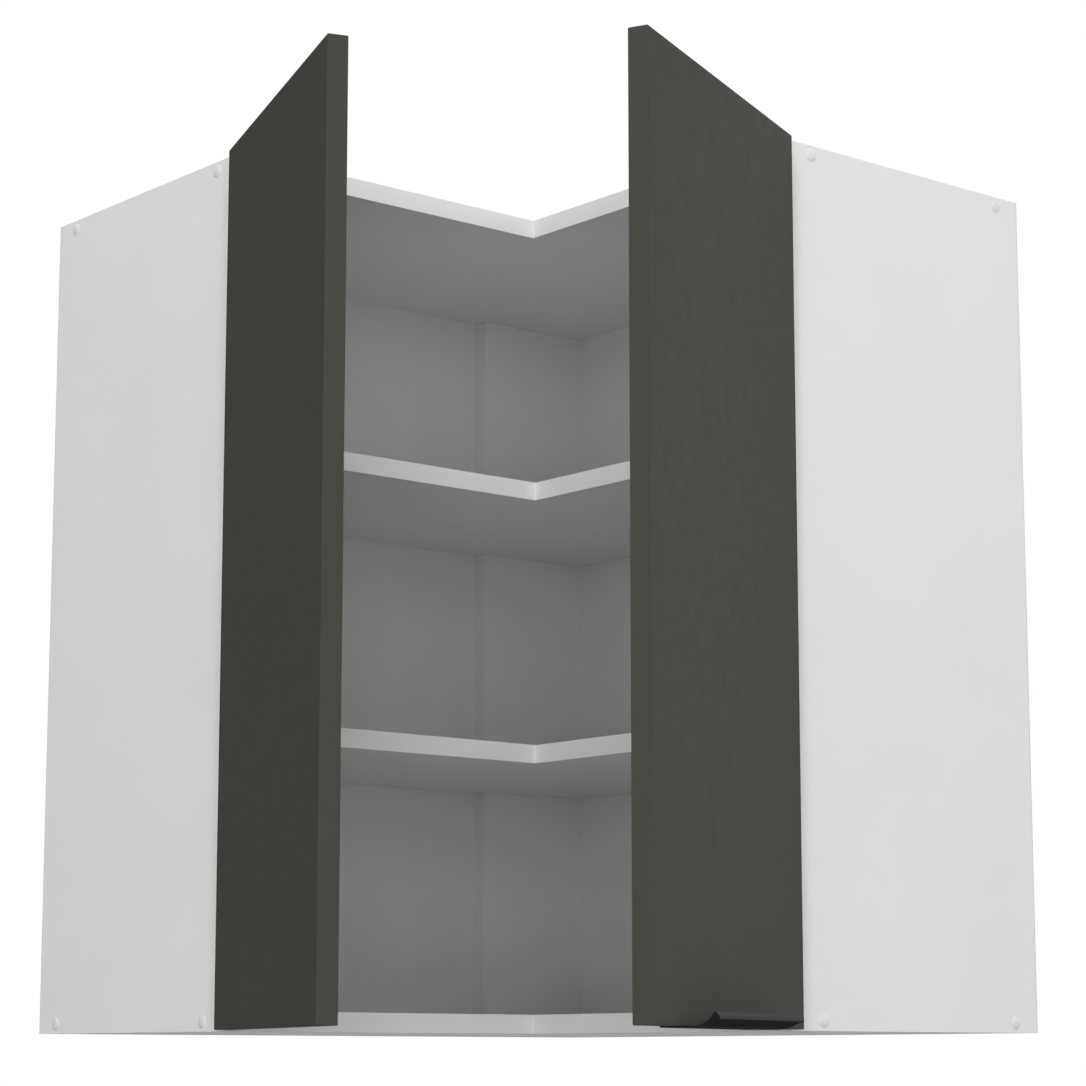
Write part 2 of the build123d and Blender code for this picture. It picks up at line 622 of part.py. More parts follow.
# ================================================================ hinges
CUP_SCREW_PLACES = [(CUP_SCREW_OFFSET, side * CUP_SCREW_SPACING / 2) for side in (-1, 1)]
for end_name, end in ENDS.items():
    opened = end["open"]

    with BuildPart() as hinge_plates:
        for hinge_z in HINGE_ZS:
            with BuildSketch(end_plane(-PLATE_CENTRE, BOARD, hinge_z)):
                Rectangle(PLATE_WING_W, PLATE_WING_H)
            extrude(amount=PLATE_T)
            with BuildSketch(end_plane(-RIDGE_FRONT, BOARD, hinge_z)):
                Rectangle(RIDGE_REAR - RIDGE_FRONT, RIDGE_W, align=(Align.MAX, Align.CENTER))
            extrude(amount=RIDGE_H)
            with Locations(end_plane(-PLATE_CENTRE, BOARD, hinge_z)):
                with GridLocations(0, PLATE_SPACING, 1, 2):
                    Cylinder(
                        PLATE_SCREW_D / 2 + HOLE_CLEARANCE, PLATE_T, align=ON, mode=Mode.SUBTRACT
                    )
            with Locations(end_plane(-ARM_SCREW_PLACE, RIDGE_TOP, hinge_z)):
                Cylinder(
                    ARM_SCREW_D / 2 + HOLE_CLEARANCE, ARM_SCREW_LENGTH - ARM_WEB_T, align=UNDER,
                    mode=Mode.SUBTRACT,
                )
    keep(hinge_plates.part, f"{end_name}_hinge_plates", end_name)

    with BuildPart() as plate_screws:
        for hinge_z in HINGE_ZS:
            with Locations(end_plane(-PLATE_CENTRE, BOARD + PLATE_T, hinge_z)):
                with GridLocations(0, PLATE_SPACING, 1, 2):
                    Cylinder(PLATE_SCREW_D / 2, PLATE_SCREW_LENGTH, align=UNDER)
                    Cylinder(SMALL_HEAD_D / 2, SMALL_HEAD_T, align=ON)
    keep(plate_screws.part, f"{end_name}_hinge_plate_screws", end_name)

    with BuildPart() as hinge_arms:
        knee = (-ARM_KNEE_BACK, BOARD + ARM_KNEE_RISE)
        web_end = (-ARM_FRONT, ARM_HIGH - ARM_NECK_R)
        pivot = (PIVOT_FORWARD, PIVOT_INWARD)
        for hinge_z in HINGE_ZS:
            # channel over the plate's ridge
            with BuildSketch(floor_plane(-ARM_REAR, ARM_LOW, hinge_z)):
                Rectangle(ARM_REAR - ARM_FRONT, ARM_HIGH - ARM_LOW, align=(Align.MIN, Align.MIN))
            extrude(amount=ARM_Z, both=True)
            with BuildSketch(floor_plane(-ARM_REAR, ARM_LOW, hinge_z)):
                Rectangle(ARM_REAR - ARM_FRONT, RIDGE_TOP - ARM_LOW, align=(Align.MIN, Align.MIN))
            extrude(amount=RIDGE_SLOT, both=True, mode=Mode.SUBTRACT)
            with Locations(end_plane(-ARM_SCREW_PLACE, RIDGE_TOP, hinge_z)):
                Cylinder(
                    ARM_SCREW_D / 2 + HOLE_CLEARANCE, ARM_WEB_T, align=ON, mode=Mode.SUBTRACT
                )
            # neck and eye
            with BuildSketch(floor_plane(0, 0, hinge_z)):
                bar(web_end, knee, ARM_NECK_R)
                bar(knee, pivot, ARM_NECK_R)
                with Locations(pivot):
                    Circle(ARM_EYE_R)
                    Circle(PIVOT_R, mode=Mode.SUBTRACT)
            extrude(amount=ARM_NOSE_Z, both=True)
    keep(hinge_arms.part, f"{end_name}_hinge_arms", end_name)

    with BuildPart() as arm_screws:
        for hinge_z in HINGE_ZS:
            with Locations(end_plane(-ARM_SCREW_PLACE, ARM_HIGH, hinge_z)):
                Cylinder(ARM_SCREW_D / 2, ARM_SCREW_LENGTH, align=UNDER)
                Cylinder(ARM_SCREW_HEAD_D / 2, ARM_SCREW_HEAD_T, align=ON)
    keep(arm_screws.part, f"{end_name}_hinge_arm_screws", end_name)

    with BuildPart() as pivot_pins:
        for hinge_z in HINGE_ZS:
            with BuildSketch(floor_plane(PIVOT_FORWARD, PIVOT_INWARD, hinge_z)):
                Circle(PIVOT_R)
            extrude(amount=LINK_OUTER + PIVOT_SPARE, both=True)
    keep(pivot_pins.part, f"{end_name}_hinge_pivots", end_name)

    slide_centre = link_end(opened, LINK_LENGTH)
    link_turn = LINK_CLOSED - LINK_RATIO * opened
    with BuildPart() as hinge_links:
        for hinge_z in HINGE_ZS:
            for plate_z in (hinge_z - LINK_OUTER, hinge_z + LINK_INNER):
                with BuildSketch(floor_plane(0, 0, plate_z)):
                    bar((PIVOT_FORWARD, PIVOT_INWARD), slide_centre, LINK_R)
                extrude(amount=LINK_T)
            web_middle = link_end(opened, (LINK_WEB_START + LINK_WEB_END) / 2)
            with BuildSketch(floor_plane(0, 0, hinge_z)):
                with Locations(Location((*web_middle, 0), (0, 0, link_turn))):
                    Rectangle(LINK_WEB_END - LINK_WEB_START, LINK_WEB_T)
            extrude(amount=LINK_OUTER, both=True)
            with BuildSketch(floor_plane(0, 0, hinge_z)):
                with Locations((PIVOT_FORWARD, PIVOT_INWARD)):
                    Circle(PIVOT_R + PIN_CLEARANCE)
                with Locations(slide_centre):
                    Circle(PIN_R + PIN_CLEARANCE)
            extrude(amount=LINK_OUTER, both=True, mode=Mode.SUBTRACT)
    keep(hinge_links.part, f"{end_name}_hinge_links", end_name)

    with BuildPart() as slide_pins:
        for hinge_z in HINGE_ZS:
            with BuildSketch(floor_plane(*slide_centre, hinge_z)):
                Circle(PIN_R)
            extrude(amount=PIN_HALF, both=True)
    keep(slide_pins.part, f"{end_name}_hinge_slide_pins", end_name)

    with BuildPart() as hinge_cups:
        path = slide_path(opened)
        cheek_outer = CHEEK_Z + CHEEK_T
        cheek_half = math.sqrt((CUP_D / 2 - CUP_WALL / 2) ** 2 - cheek_outer**2)
        for hinge_z in HINGE_ZS:
            seat = face_plane(opened, hinge_z, CUP_CENTRE)
            with BuildSketch(seat):
                Circle(CUP_D / 2)
            extrude(amount=-CUP_DEPTH)
            with BuildSketch(seat):
                Circle(CUP_D / 2 + CUP_FLANGE_RIM)
                for place in CUP_SCREW_PLACES:
                    bar((0, 0), place, CUP_EAR_R)
            extrude(amount=CUP_FLANGE_T)
            with BuildSketch(seat.offset(CUP_FLANGE_T)):
                Circle(CUP_D / 2 - CUP_WALL)
            extrude(amount=-(CUP_DEPTH - CUP_WALL + CUP_FLANGE_T), mode=Mode.SUBTRACT)
            with Locations(*[seat * Location((*place, 0)) for place in CUP_SCREW_PLACES]):
                Cylinder(
                    CUP_SCREW_D / 2 + HOLE_CLEARANCE, CUP_FLANGE_T, align=ON, mode=Mode.SUBTRACT
                )
            # cheeks with the slots of the sliding pin
            for cheek_z in (hinge_z - cheek_outer, hinge_z + CHEEK_Z):
                with BuildSketch(door_plane(opened, cheek_z, CUP_CENTRE)):
                    Rectangle(
                        2 * cheek_half, CUP_DEPTH - CUP_WALL / 2, align=(Align.CENTER, Align.MAX)
                    )
                    for start, finish in zip(path, path[1:]):
                        bar(start, finish, PIN_R + SLOT_CLEARANCE, Mode.SUBTRACT)
                extrude(amount=CHEEK_T)
    keep(hinge_cups.part, f"{end_name}_hinge_cups", end_name)

    with BuildPart() as cup_screws:
        for hinge_z in HINGE_ZS:
            face = face_plane(opened, hinge_z, CUP_CENTRE, CUP_FLANGE_T)
            with Locations(*[face * Location((*place, 0)) for place in CUP_SCREW_PLACES]):
                Cylinder(CUP_SCREW_D / 2, CUP_SCREW_LENGTH, align=UNDER)
                Cylinder(SMALL_HEAD_D / 2, SMALL_HEAD_T, align=ON)
    keep(cup_screws.part, f"{end_name}_hinge_cup_screws", end_name)

# ================================================================ doors
HANDLE_SCREW_PLACES = [
    RIGHT_DOOR_W - HANDLE_END - HANDLE_LENGTH * (n + 0.5) / HANDLE_SCREWS
    for n in range(HANDLE_SCREWS)
]
HANDLE_SCREW_Y = -DOOR_T + HANDLE_PLATE_IN / 2
for end_name, end in ENDS.items():
    opened = end["open"]
    with BuildPart() as door:
        with BuildSketch(door_plane(opened, DOOR_EDGE_MARGIN)):
            Rectangle(end["width"], DOOR_T, align=(Align.MIN, Align.MAX))
        extrude(amount=DOOR_H)
        fillet(door.edges(), DOOR_EDGE_R)
        # bored seats and pilot holes of the hinge cups
        for hinge_z in HINGE_ZS:
            seat = face_plane(opened, hinge_z, CUP_CENTRE)
            with Locations(seat):
                Cylinder(
                    CUP_D / 2 + CUP_CLEARANCE, CUP_DEPTH + CUP_CLEARANCE, align=UNDER,
                    mode=Mode.SUBTRACT,
                )
            with Locations(*[seat * Location((*place, 0)) for place in CUP_SCREW_PLACES]):
                Cylinder(
                    CUP_SCREW_D / 2 + HOLE_CLEARANCE, CUP_SCREW_LENGTH - CUP_FLANGE_T,
                    align=UNDER, mode=Mode.SUBTRACT,
                )
        if end_name == "right":
            # pilot holes of the handle's screws in the lower edge
            with Locations(door_plane(opened, DOOR_EDGE_MARGIN)):
                with Locations(*[(place, HANDLE_SCREW_Y) for place in HANDLE_SCREW_PLACES]):
                    Cylinder(
                        HANDLE_SCREW_D / 2 + HOLE_CLEARANCE, HANDLE_SCREW_LENGTH, align=ON,
                        mode=Mode.SUBTRACT,
                    )
    keep(door.part, f"{end_name}_door", end_name)

    with BuildPart() as bumpers:
        with Locations(
            *[face_plane(opened, z, end["width"] - BUMPER_INSET) for z in BOARD_MIDS]
        ):
            Cylinder(BUMPER_D / 2, BUMPER_T, align=ON)
    keep(bumpers.part, f"{end_name}_door_bumpers", end_name)

# ================================================================ handle
grip_start = door_plane(RIGHT_OPEN, DOOR_EDGE_MARGIN, RIGHT_DOOR_W - HANDLE_END, -DOOR_T)
GRIP_PROFILE = Plane(
    origin=grip_start.origin, x_dir=-grip_start.y_dir, z_dir=-grip_start.x_dir
)
with BuildPart() as handle:
    with BuildSketch(GRIP_PROFILE):
        with BuildLine():
            throat = Line((-HANDLE_PLATE_IN, 0), (HANDLE_THROAT, 0))
            scoop = TangentArc(throat @ 1, (HANDLE_TIP, HANDLE_RISE), tangent=(1, 0))
            lip_mid_x = HANDLE_TIP + 0.75 * (HANDLE_REACH - HANDLE_TIP)
            lip_mid_y = HANDLE_OUTER_RISE + 0.55 * (HANDLE_RISE - HANDLE_OUTER_RISE)
            lip = ThreePointArc(
                scoop @ 1, (lip_mid_x, lip_mid_y), (HANDLE_REACH, HANDLE_OUTER_RISE)
            )
            belly = Spline(
                lip @ 1, (HANDLE_BELLY, HANDLE_PLATE_T / 2), (HANDLE_THROAT, -HANDLE_PLATE_T),
                tangents=[(-1, -0.2), (-1, 0)],
            )
            Polyline(belly @ 1, (-HANDLE_PLATE_IN, -HANDLE_PLATE_T), throat @ 0)
        make_face()
    extrude(amount=HANDLE_LENGTH)
    with Locations(door_plane(RIGHT_OPEN, DOOR_EDGE_MARGIN - HANDLE_PLATE_T)):
        with Locations(*[(place, HANDLE_SCREW_Y) for place in HANDLE_SCREW_PLACES]):
            Cylinder(
                HANDLE_SCREW_D / 2 + HOLE_CLEARANCE, HANDLE_PLATE_T, align=ON, mode=Mode.SUBTRACT
            )
            Cylinder(
                HANDLE_SCREW_HEAD_D / 2 + HOLE_CLEARANCE, HANDLE_SCREW_HEAD_T, align=ON,
                mode=Mode.SUBTRACT,
            )
keep(handle.part, "door_handle", "right")

with BuildPart() as handle_screws:
    with Locations(door_plane(RIGHT_OPEN, DOOR_EDGE_MARGIN - HANDLE_PLATE_T)):
        with Locations(*[(place, HANDLE_SCREW_Y) for place in HANDLE_SCREW_PLACES]):
            Cylinder(HANDLE_SCREW_D / 2, HANDLE_SCREW_LENGTH, align=ON)
            Cylinder(HANDLE_SCREW_HEAD_D / 2, HANDLE_SCREW_HEAD_T, align=ON)
keep(handle_screws.part, "handle_screws", "right")
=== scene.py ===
# %% [markdown]
# # Dressing a corner wall cabinet
# The cabinet is an L-shaped body of white board with two dark doors that stand open. Its solids are
# already built and packed, so this script loads them and gives them what a solid can't have: the
# fine skin of the board, the edge bands, the lacquer, satin metal, and screws with a real recess.
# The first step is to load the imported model. Every object is in metres, in the model's own frame.

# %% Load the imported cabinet
import json
import math
import bpy
import bmesh
from mathutils import Matrix, Vector


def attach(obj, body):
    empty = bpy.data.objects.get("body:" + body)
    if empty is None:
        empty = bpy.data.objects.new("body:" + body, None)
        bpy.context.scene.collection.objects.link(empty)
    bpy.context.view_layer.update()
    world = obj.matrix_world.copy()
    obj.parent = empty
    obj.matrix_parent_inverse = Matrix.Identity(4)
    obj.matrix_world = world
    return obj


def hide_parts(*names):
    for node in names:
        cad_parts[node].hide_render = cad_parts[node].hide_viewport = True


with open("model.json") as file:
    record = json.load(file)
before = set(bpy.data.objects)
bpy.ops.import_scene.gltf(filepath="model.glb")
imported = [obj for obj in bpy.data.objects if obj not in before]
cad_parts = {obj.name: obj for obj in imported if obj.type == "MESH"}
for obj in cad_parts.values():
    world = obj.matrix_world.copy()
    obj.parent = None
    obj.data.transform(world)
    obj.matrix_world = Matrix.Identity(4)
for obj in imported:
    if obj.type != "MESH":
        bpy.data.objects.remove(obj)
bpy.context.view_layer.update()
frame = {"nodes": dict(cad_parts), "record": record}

nodes = frame["nodes"]
subparts = frame["record"]["subparts"]
scene = bpy.context.scene


# %% [markdown]
# ## The camera
# The picture is taken from low in front of the corner, a little below the cabinet's bottom, so the
# undersides of the top and the shelves show. A long lens keeps the sides nearly parallel. The
# camera looks up by nine degrees. A strongly shifted lens would keep the uprights exactly upright,
# but that shift stays in every other view too, so only a small one is used.

# %% Place the camera
CAMERA_PLACE = Vector((2.225777, -1.901033, -0.023319))
CAMERA_TURN = math.radians(39.969)  # from -X towards +Y
CAMERA_PITCH = math.radians(9.013)
CAMERA_SHIFT = 0.05
PHOTO_SIDE = 1086  # pixels
FOCAL_LENGTH = 2926.14  # in the photograph's pixels
SENSOR = 36  # mm
CLIP_END = 100  # m

camera_data = bpy.data.cameras.new("camera")
camera_data.sensor_width = SENSOR
camera_data.lens = FOCAL_LENGTH / PHOTO_SIDE * SENSOR
camera_data.shift_y = CAMERA_SHIFT
camera_data.clip_end = CLIP_END
camera = bpy.data.objects.new("camera", camera_data)
look = Vector((-math.cos(CAMERA_TURN) * math.cos(CAMERA_PITCH),
               math.sin(CAMERA_TURN) * math.cos(CAMERA_PITCH),
               math.sin(CAMERA_PITCH)))
camera.location = CAMERA_PLACE
camera.rotation_euler = look.to_track_quat("-Z", "Y").to_euler()
scene.collection.objects.link(camera)
bpy.context.scene.camera = camera
print("lens in mm:", round(camera_data.lens, 1))

# %% [markdown]
# ## Light and background
# The background is white and the light is very soft, as in a white tent. What the camera sees
# behind the cabinet and what lights the cabinet are set apart: Light Path tells which kind of ray
# asks. A maximum of three of its answers is 1 where the camera, a reflection or glass looks out.

# %% Helpers that tell what is seen from what gives light
def larger(tree, first, second):
    """The larger of two values."""
    node = tree.nodes.new("ShaderNodeMath")
    node.operation = "MAXIMUM"
    tree.links.new(first, node.inputs[0])
    tree.links.new(second, node.inputs[1])
    return node.outputs[0]


def seen(tree):
    """1 for a ray of the camera, of a reflection or through glass, else 0."""
    path = tree.nodes.new("ShaderNodeLightPath")
    plain_or_mirrored = larger(tree, path.outputs["Is Camera Ray"], path.outputs["Is Glossy Ray"])
    return larger(tree, plain_or_mirrored, path.outputs["Is Transmission Ray"])


print("helpers ready:", larger.__name__, seen.__name__)

# %% [markdown]
# The world lights from all round, by the height of each direction: most from the horizon, less from
# below and above. It is plain white where it is seen. The colour transform is Standard, so that a
# colour renders about as it is written.

# %% White surroundings with soft light
WORLD_LEVELS = {-1.0: 0.35, 0.0: 0.9, 0.5: 0.15, 1.0: 0.12}  # height of a direction: its light
RAMP_SCALE = 2  # the ramp holds the levels divided by this, and the strength brings them back

scene.view_settings.view_transform = "Standard"
world = bpy.data.worlds.new("white tent")
world.use_nodes = True
scene.world = world
tree = world.node_tree
tree.nodes.clear()
direction = tree.nodes.new("ShaderNodeTexCoord")
split = tree.nodes.new("ShaderNodeSeparateXYZ")
height = tree.nodes.new("ShaderNodeMapRange")
height.inputs["From Min"].default_value = -1
levels = tree.nodes.new("ShaderNodeValToRGB")
ramp = levels.color_ramp.elements
while len(ramp) < len(WORLD_LEVELS):
    ramp.new(0.5)
for element, (place, level) in zip(ramp, sorted(WORLD_LEVELS.items())):
    element.position = (place + 1) / 2
    element.color = (level / RAMP_SCALE, level / RAMP_SCALE, level / RAMP_SCALE, 1)
light = tree.nodes.new("ShaderNodeBackground")
light.inputs["Strength"].default_value = RAMP_SCALE
white = tree.nodes.new("ShaderNodeBackground")
white.inputs["Color"].default_value = (1, 1, 1, 1)
choose = tree.nodes.new("ShaderNodeMixShader")
out = tree.nodes.new("ShaderNodeOutputWorld")
tree.links.new(direction.outputs["Generated"], split.inputs[0])
tree.links.new(split.outputs["Z"], height.inputs["Value"])
tree.links.new(height.outputs["Result"], levels.inputs["Fac"])
tree.links.new(levels.outputs["Color"], light.inputs["Color"])
tree.links.new(seen(tree), choose.inputs["Fac"])
tree.links.new(light.outputs[0], choose.inputs[1])
tree.links.new(white.outputs[0], choose.inputs[2])
tree.links.new(choose.outputs[0], out.inputs["Surface"])
print("world levels:", WORLD_LEVELS)

# %% [markdown]
# Four large soft boxes shape the light: one high in front and one low in front, which light the
# doors, the sides and the inside, one at the right for the right door, and one behind for the
# backs. They stand far away, so the light falls off little over the cabinet. Their strengths were
# found by rendering each lamp alone and weighing the results against the photograph.

# %% Soft boxes
CABINET_MIDDLE = Vector((0.33, -0.33, 0.36))
LAMPS = {
    # name: place in metres, side in metres, power in watts
    "high softbox": ((3.95, -3.65, 5.40), 4.0, 368),
    "front softbox": ((4.58, -4.20, -0.10), 3.6, 86),
    "right softbox": ((0.80, 4.30, 1.40), 2.2, 139),
    "rear softbox": ((-3.80, 3.80, 1.80), 2.4, 120),
}
for name, (place, side, power) in LAMPS.items():
    lamp_data = bpy.data.lights.new(name, "AREA")
    lamp_data.shape = "SQUARE"
    lamp_data.size = side
    lamp_data.energy = power
    lamp = bpy.data.objects.new(name, lamp_data)
    lamp.location = place
    lamp.rotation_euler = (CABINET_MIDDLE - Vector(place)).to_track_quat("-Z", "Y").to_euler()
    scene.collection.objects.link(lamp)
print("lamps:", ", ".join(LAMPS))

# %% [markdown]
# The cabinet hangs on a wall, so its floor is far below it. It is one plane, and it is no part of
# the cabinet.

# %% Floor
FLOOR_LEVEL = -1.35  # m
FLOOR_SIDE = 60  # m

bpy.ops.object.select_all(action="DESELECT")
bpy.ops.mesh.primitive_plane_add(size=FLOOR_SIDE, location=(0, 0, FLOOR_LEVEL))
floor = bpy.context.object
floor.name = "floor"
print("floor at", FLOOR_LEVEL, "m")

# %% [markdown]
# The floor is a mid grey to the light, so that it throws little back at the underside, and near
# white to the camera, where its own shading, with the cabinet's soft shadow, stays on top of a
# glow. Farther out the lamps light it less, so there the glow grows.

# %% Finish of the floor
FLOOR_GREY = 0.36
FLOOR_MOTTLE = 0.01
MOTTLE_SCALE = 1.5
FLOOR_GLOW = (0.64, 0.88)  # under the cabinet, and far out
GLOW_GROWS = (1.5, 7)  # m from the middle

floor_finish = bpy.data.materials.new("pale floor")
floor_finish.use_nodes = True
tree = floor_finish.node_tree
tree.nodes.clear()
coords = tree.nodes.new("ShaderNodeTexCoord")
mottle = tree.nodes.new("ShaderNodeTexNoise")
mottle.inputs["Scale"].default_value = MOTTLE_SCALE
greys = tree.nodes.new("ShaderNodeMapRange")
greys.inputs["To Min"].default_value = FLOOR_GREY - FLOOR_MOTTLE
greys.inputs["To Max"].default_value = FLOOR_GREY + FLOOR_MOTTLE
matt = tree.nodes.new("ShaderNodeBsdfDiffuse")
away = tree.nodes.new("ShaderNodeVectorMath")
away.operation = "LENGTH"
glow_here = tree.nodes.new("ShaderNodeMapRange")
glow_here.interpolation_type = "SMOOTHSTEP"
for name, pair in (("From", GLOW_GROWS), ("To", FLOOR_GLOW)):
    glow_here.inputs[f"{name} Min"].default_value = pair[0]
    glow_here.inputs[f"{name} Max"].default_value = pair[1]
amount = tree.nodes.new("ShaderNodeMath")
amount.operation = "MULTIPLY"
glow = tree.nodes.new("ShaderNodeEmission")
both = tree.nodes.new("ShaderNodeAddShader")
out = tree.nodes.new("ShaderNodeOutputMaterial")
tree.links.new(coords.outputs["Object"], mottle.inputs["Vector"])
tree.links.new(mottle.outputs["Fac"], greys.inputs["Value"])
tree.links.new(greys.outputs["Result"], matt.inputs["Color"])
tree.links.new(coords.outputs["Object"], away.inputs[0])
tree.links.new(away.outputs["Value"], glow_here.inputs["Value"])
tree.links.new(seen(tree), amount.inputs[0])
tree.links.new(glow_here.outputs["Result"], amount.inputs[1])
tree.links.new(amount.outputs[0], glow.inputs["Strength"])
tree.links.new(matt.outputs[0], both.inputs[0])
tree.links.new(glow.outputs[0], both.inputs[1])
tree.links.new(both.outputs[0], out.inputs["Surface"])
floor.data.materials.append(floor_finish)
print("floor grey:", FLOOR_GREY, "glow:", FLOOR_GLOW)

# %% [markdown]
# ## Tools for finishes
# Every finish is the standard surface shader with noise on the object's own coordinates. The noise
# shifts the colour a little, varies the gloss, and raises the surface. A picture could be laid on
# the faces instead, but noise needs no file and has no seams. Each helper adds one such step, so a
# finish reads as a short recipe. All sizes in a recipe are metres.

# %% Start a finish and give it noise
EVEN = (1, 1, 1)
UNTURNED = (0, 0, 0)
NOISE_LOW, NOISE_HIGH = 0.35, 0.65  # noise seldom leaves this range


def new_finish(name, gloss=0.5, metal=0.0):
    """A material with the standard surface shader."""
    finish = bpy.data.materials.new(name)
    finish.use_nodes = True
    shader = finish.node_tree.nodes["Principled BSDF"]
    shader.inputs["Specular IOR Level"].default_value = gloss
    shader.inputs["Metallic"].default_value = metal
    return finish


def noise(finish, size, stretch=EVEN, detail=3, turn=UNTURNED):
    """Noise with spots of about this size, stretched along each axis."""
    tree = finish.node_tree
    coords = tree.nodes.new("ShaderNodeTexCoord")
    mapping = tree.nodes.new("ShaderNodeMapping")
    mapping.inputs["Rotation"].default_value = turn
    mapping.inputs["Scale"].default_value = [1 / (size * s) for s in stretch]
    texture = tree.nodes.new("ShaderNodeTexNoise")
    texture.inputs["Scale"].default_value = 1
    texture.inputs["Detail"].default_value = detail
    tree.links.new(coords.outputs["Object"], mapping.inputs["Vector"])
    tree.links.new(mapping.outputs["Vector"], texture.inputs["Vector"])
    return texture.outputs["Fac"]


def spread(finish, value, low, high, start=NOISE_LOW, end=NOISE_HIGH):
    """Turns a value from start to end into one from low to high."""
    node = finish.node_tree.nodes.new("ShaderNodeMapRange")
    for name, number in (("From Min", start), ("From Max", end), ("To Min", low), ("To Max", high)):
        node.inputs[name].default_value = number
    finish.node_tree.links.new(value, node.inputs["Value"])
    return node.outputs["Result"]


print("helpers ready:", new_finish.__name__, noise.__name__, spread.__name__)

# %% [markdown]
# Colours are mixed by an amount. In most finishes two shades take turns in soft clouds. The last
# helper links colour, roughness and surface height to the shader.

# %% Mix colours and complete a finish
def mixed(finish, amount, first, second):
    """A colour between first and second, each a colour or another colour output."""
    tree = finish.node_tree
    node = tree.nodes.new("ShaderNodeMix")
    node.data_type = "RGBA"
    tree.links.new(amount, node.inputs["Factor"])
    for socket, colour in ((node.inputs[6], first), (node.inputs[7], second)):
        if isinstance(colour, tuple):
            socket.default_value = (*colour, 1)
        else:
            tree.links.new(colour, socket)
    return node.outputs[2]


def clouded(finish, size, dark, pale, stretch=EVEN, detail=3, start=NOISE_LOW, end=NOISE_HIGH):
    """A colour that wanders between two shades, in clouds of about this size."""
    clouds = noise(finish, size, stretch, detail)
    return mixed(finish, spread(finish, clouds, 0, 1, start, end), dark, pale)


def finish_with(finish, colour, roughness, heights, depth, strength):
    """Links a recipe's colour, roughness and surface height to its shader."""
    tree = finish.node_tree
    shader = tree.nodes["Principled BSDF"]
    bump = tree.nodes.new("ShaderNodeBump")
    bump.inputs["Distance"].default_value = depth
    bump.inputs["Strength"].default_value = strength
    tree.links.new(colour, shader.inputs["Base Color"])
    tree.links.new(roughness, shader.inputs["Roughness"])
    tree.links.new(heights, bump.inputs["Height"])
    tree.links.new(bump.outputs["Normal"], shader.inputs["Normal"])
    print("finish:", finish.name)


print("helpers ready:", mixed.__name__, clouded.__name__, finish_with.__name__)

# %% [markdown]
# ## The white board
# The body is chipboard faced with white melamine. The skin is matt with a fine pearl texture, and
# not a perfectly even white. Where the boards are cut and left raw, at the rear edges that go to
# the wall, the brown chips of the core show. One material does both: the core shows only within a
# fraction of a millimetre of the wall planes, where the only surfaces are those rear edges.

# %% White melamine board
BOARD_WHITE = (0.825, 0.825, 0.822)
BOARD_WHITE_LOW = (0.81, 0.81, 0.807)
CHIP_DARK, CHIP_PALE = (0.30, 0.19, 0.10), (0.62, 0.46, 0.28)
RAW_WITHIN = 0.0004  # m from a wall plane


def near_walls(finish, distance):
    """1 on the part of a piece that is nearer to a wall plane than a distance, else 0."""
    tree = finish.node_tree
    coords = tree.nodes.new("ShaderNodeTexCoord")
    split = tree.nodes.new("ShaderNodeSeparateXYZ")
    tree.links.new(coords.outputs["Object"], split.inputs[0])
    tests = []
    for axis, operation, limit in (("X", "LESS_THAN", distance), ("Y", "GREATER_THAN", -distance)):
        test = tree.nodes.new("ShaderNodeMath")
        test.operation = operation
        test.inputs[1].default_value = limit
        tree.links.new(split.outputs[axis], test.inputs[0])
        tests.append(test.outputs[0])
    return larger(tree, *tests)


melamine = new_finish("white melamine", gloss=0.004)
skin = clouded(melamine, 0.12, BOARD_WHITE_LOW, BOARD_WHITE)
chips = clouded(melamine, 0.0022, CHIP_DARK, CHIP_PALE,
                stretch=(1, 1, 0.6), detail=2, start=0.42, end=0.6)
finish_with(melamine, mixed(melamine, near_walls(melamine, RAW_WITHIN), skin, chips),
            roughness=spread(melamine, noise(melamine, 0.03), 0.42, 0.52),
            heights=noise(melamine, 0.0011, detail=2), depth=0.00004, strength=0.5)

# %% [markdown]
# The front edges carry thin plastic bands. They are a touch smoother than the board, with a very
# faint grain of their own.

# %% Edge band
banding = new_finish("white edge band", gloss=0.03)
grain = noise(banding, 0.0012, detail=2)
finish_with(banding, clouded(banding, 0.08, BOARD_WHITE_LOW, BOARD_WHITE),
            roughness=spread(banding, grain, 0.34, 0.44),
            heights=grain, depth=0.00002, strength=0.4)

# %% [markdown]
# The backs are thin hardboard, painted white on the inside and left brown at the rear, where its
# pressed fibres show. Again one material does both, with the change inside the board's thickness.

# %% Hardboard backs
PAINT_LOW, PAINT = (0.79, 0.79, 0.787), (0.81, 0.81, 0.808)
FIBRE_DARK, FIBRE_PALE = (0.17, 0.095, 0.05), (0.34, 0.21, 0.12)
BROWN_WITHIN = 0.0125  # m from a wall plane, in the middle of the board

hardboard = new_finish("hardboard", gloss=0.2)
paint = clouded(hardboard, 0.09, PAINT_LOW, PAINT)
fibre = clouded(hardboard, 0.0016, FIBRE_DARK, FIBRE_PALE,
                stretch=(1, 1, 2.5), detail=5, start=0.35, end=0.7)
finish_with(hardboard, mixed(hardboard, near_walls(hardboard, BROWN_WITHIN), paint, fibre),
            roughness=spread(hardboard, noise(hardboard, 0.02), 0.45, 0.62),
            heights=noise(hardboard, 0.0013, detail=4), depth=0.00006, strength=0.6)

# %% [markdown]
# ## Door lacquer
# The doors are a dark olive grey on the faces and the edges alike. The lacquer is so matt that it
# hardly mirrors anything, with a very fine orange-peel surface.

# %% Matt olive grey lacquer
DOOR_COLOUR = (0.0670, 0.0642, 0.0560)
DOOR_WANDER = 0.015  # of the colour, up and down

